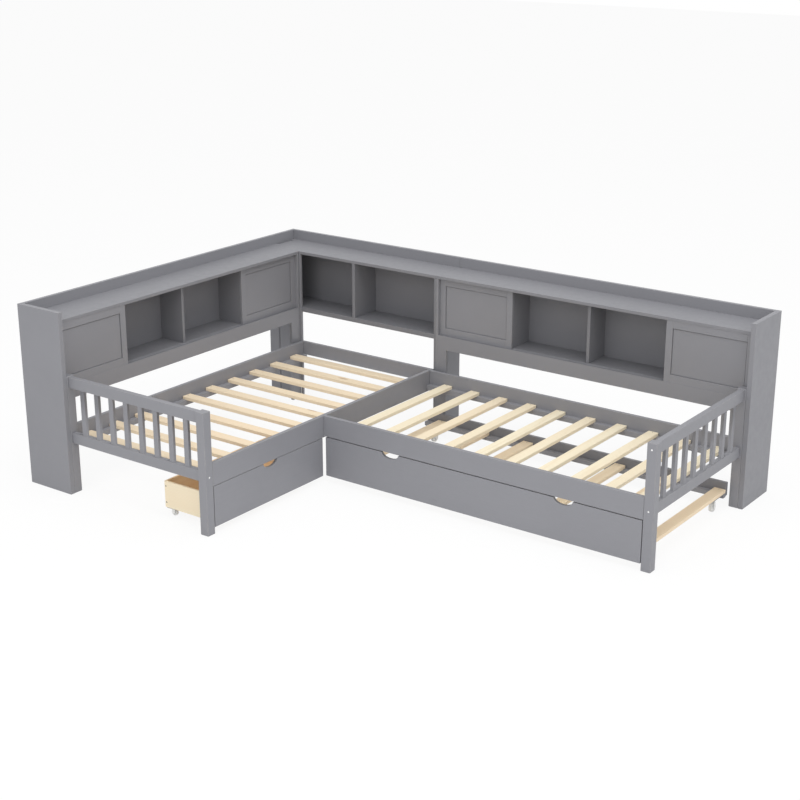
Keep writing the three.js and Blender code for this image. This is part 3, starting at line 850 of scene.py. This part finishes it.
# Drawer box: two sides and a back screwed together, a thin bottom let in between them
boxwork = {
    "wall": 0.012,
    "round": 0.0012,
    "tones": {"outerSide": 1.3, "innerSide": 0.7, "back": 0.35, "bottom": 0.9},
    "screw": 0.0042,
    "screwFromEnd": 0.0095,
    "screwFromEdge": 0.028,
    "bottom": 0.006,
    "bottomRound": 0.0004,
    "bottomRaised": 0.0001,
}
boxLow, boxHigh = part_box("drawer_box")
sides, backWall, screws = startMesh(), startMesh(), startMesh()
wall, tones = boxwork["wall"], boxwork["tones"]
nearWall, farWall = boxLow.y + wall, boxHigh.y - wall
for name, spans in (
    ("outerSide", {1: (boxLow.y, nearWall)}),
    ("innerSide", {1: (farWall, boxHigh.y)}),
    ("back", {0: (boxLow.x, boxLow.x + wall), 1: (nearWall, farWall)}),
):
    first, last = cutDown(boxLow, boxHigh, spans)
    addBoard(backWall if name == "back" else sides, first, last, boxwork["round"], tones[name])
inset, rise = boxwork["screwFromEnd"], boxwork["screwFromEdge"]
for y, outward in ((boxLow.y, (0, -1, 0)), (boxHigh.y, (0, 1, 0))):
    for z in (boxLow.z + rise, boxHigh.z - rise):
        for x in (boxLow.x + inset, boxHigh.x - inset):
            addScrew(screws, Vector((x, y, z)), outward, boxwork["screw"])
finishPiece(sides, "drawer_sides", "pineX", "drawer", ["drawer_box"])
# the back wall, and the bottom further down, take pine darkened as painted shade
finishPiece(backWall, "drawer_back", "shadedPineBox", "drawer")
finishPiece(screws, "drawer_screws", "darkSteel", "drawer")
levels = (boxLow.z + boxwork["bottomRaised"], boxLow.z + boxwork["bottom"])
first, last = cutDown(*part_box("drawer_bottom"), {2: levels})
bm = startMesh()
addBoard(bm, first, last, boxwork["bottomRound"], tones["bottom"])
finishPiece(bm, "drawer_bottom_panel", "shadedPineBox", "drawer", ["drawer_bottom"])
print("stage: trundle and drawer")

# Pale caps over the bolts that hold the footboards to their posts
capwork = {
    "radius": 0.0047,
    "sides": 20,
    "dome": [(1.0, -0.0006), (1.0, 0.0006), (0.86, 0.0013), (0.5, 0.0018), (0.2, 0.0019)],
    "levels": {"right_front_post": (0.626, 0.3135), "left_front_post": (0.3135,)},
    "outward": {"right_front_post": (0, -1, 0), "left_front_post": (1, 0, 0)},
}
caps = startMesh()
dome = [(share * capwork["radius"], z) for share, z in capwork["dome"]]
for node, levels in capwork["levels"].items():
    low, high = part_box(node)
    outward = Vector(capwork["outward"][node])
    face = (low + high) / 2 + outward * (high.x - low.x) / 2  # the posts are square
    for z in levels:
        addTurned(caps, Vector((face.x, face.y, z)), outward, dome, capwork["sides"])
finishPiece(caps, "post_bolt_caps", "whitePlastic")

# Nails round the back panels, seen from the wall side
nailwork = {
    "radius": 0.0022,
    "sides": 10,
    "dome": [(1.0, -0.0002), (1.0, 0.0003), (0.7, 0.0006), (0.25, 0.0007)],
    "step": 0.15,
    "inset": 0.008,
}
nails = startMesh()
dome = [(share * nailwork["radius"], z) for share, z in nailwork["dome"]]
inset = nailwork["inset"]
for node, run, outward in (
    ("corner_back_panel", 0, (0, 1, 0)),
    ("right_back_panel", 0, (0, 1, 0)),
    ("left_back_panel", 1, (-1, 0, 0)),
):
    low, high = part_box(node)
    other = 1 - run
    count = int((high[run] - low[run]) / nailwork["step"])
    step = (high[run] - low[run] - 2 * inset) / count
    for i in range(count + 1):
        for z in (low.z + inset, high.z - inset):
            place = Vector((0, 0, z))
            place[run] = low[run] + inset + i * step
            place[other] = high[other] if outward[other] > 0 else low[other]
            addTurned(nails, place, outward, dome, nailwork["sides"])
finishPiece(nails, "back_panel_nails", "zincSteel")
print("stage: caps and nails")

# Floor, light and background
roomLook = {
    "floorSize": 60.0,
    "floorLevel": -0.0005,
    "floorColour": (0.97, 0.97, 0.97, 1),
    "whiteShare": 0.9,  # how far the floor's own shading gives way to white
    "white": (1, 1, 1, 1),
    "skyStrength": 0.65,
}
bm = bmesh.new()
half = roomLook["floorSize"] / 2
corners = [(-half, -half), (half, -half), (half, half), (-half, half)]
bm.faces.new([bm.verts.new((x, y, roomLook["floorLevel"])) for x, y in corners])
floorMesh = bpy.data.meshes.new("floor")
bm.to_mesh(floorMesh)
bm.free()
floor = bpy.data.objects.new("floor", floorMesh)
bpy.context.scene.collection.objects.link(floor)


# 1 where the picture, a reflection or a look through glass sees the surface
def seenBy(tree):
    path = put(tree, "ShaderNodeLightPath").outputs
    seen = maths(tree, "MAXIMUM", path["Is Camera Ray"], path["Is Glossy Ray"])
    return maths(tree, "MAXIMUM", seen, path["Is Transmission Ray"])


floorPaint = bpy.data.materials.new("paleFloor")
floorPaint.use_nodes = True
tree = floorPaint.node_tree
tree.nodes.clear()
plain = put(tree, "ShaderNodeBsdfDiffuse", {"Color": roomLook["floorColour"]}).outputs[0]
white = put(tree, "ShaderNodeEmission", {"Color": roomLook["white"], "Strength": 1.0}).outputs[0]
share = maths(tree, "MULTIPLY", seenBy(tree), roomLook["whiteShare"])
mixed = put(tree, "ShaderNodeMixShader", {0: share, 1: plain, 2: white}).outputs[0]
put(tree, "ShaderNodeOutputMaterial", {"Surface": mixed})
floorMesh.materials.append(floorPaint)

world = bpy.data.worlds.new("room")
bpy.context.scene.world = world
world.use_nodes = True
tree = world.node_tree
tree.nodes.clear()
sky, white = (
    put(tree, "ShaderNodeBackground", {"Color": roomLook["white"], "Strength": s}).outputs[0]
    for s in (roomLook["skyStrength"], 1.0)
)
mixed = put(tree, "ShaderNodeMixShader", {0: seenBy(tree), 1: sky, 2: white}).outputs[0]
put(tree, "ShaderNodeOutputWorld", {"Surface": mixed})

lamps = {
    "above": {"place": (1.5, -0.6, 9.0), "size": 7.0, "power": 315},
    "front": {"place": (0.5, -6.0, 4.0), "size": 3.5, "power": 72},
    "side": {"place": (6.0, -1.6, 4.0), "size": 3.5, "power": 45},
}
aim = Vector((0.0, -0.4, 0.3))
for name, its in lamps.items():
    light = bpy.data.lights.new(name, "AREA")
    light.size, light.energy = its["size"], its["power"]
    lamp = bpy.data.objects.new(name, light)
    bpy.context.scene.collection.objects.link(lamp)
    lamp.location = its["place"]
    lamp.rotation_euler = (aim - lamp.location).to_track_quat("-Z", "Y").to_euler()
bpy.context.scene.view_settings.view_transform = "Standard"
print("stage: floor and light")
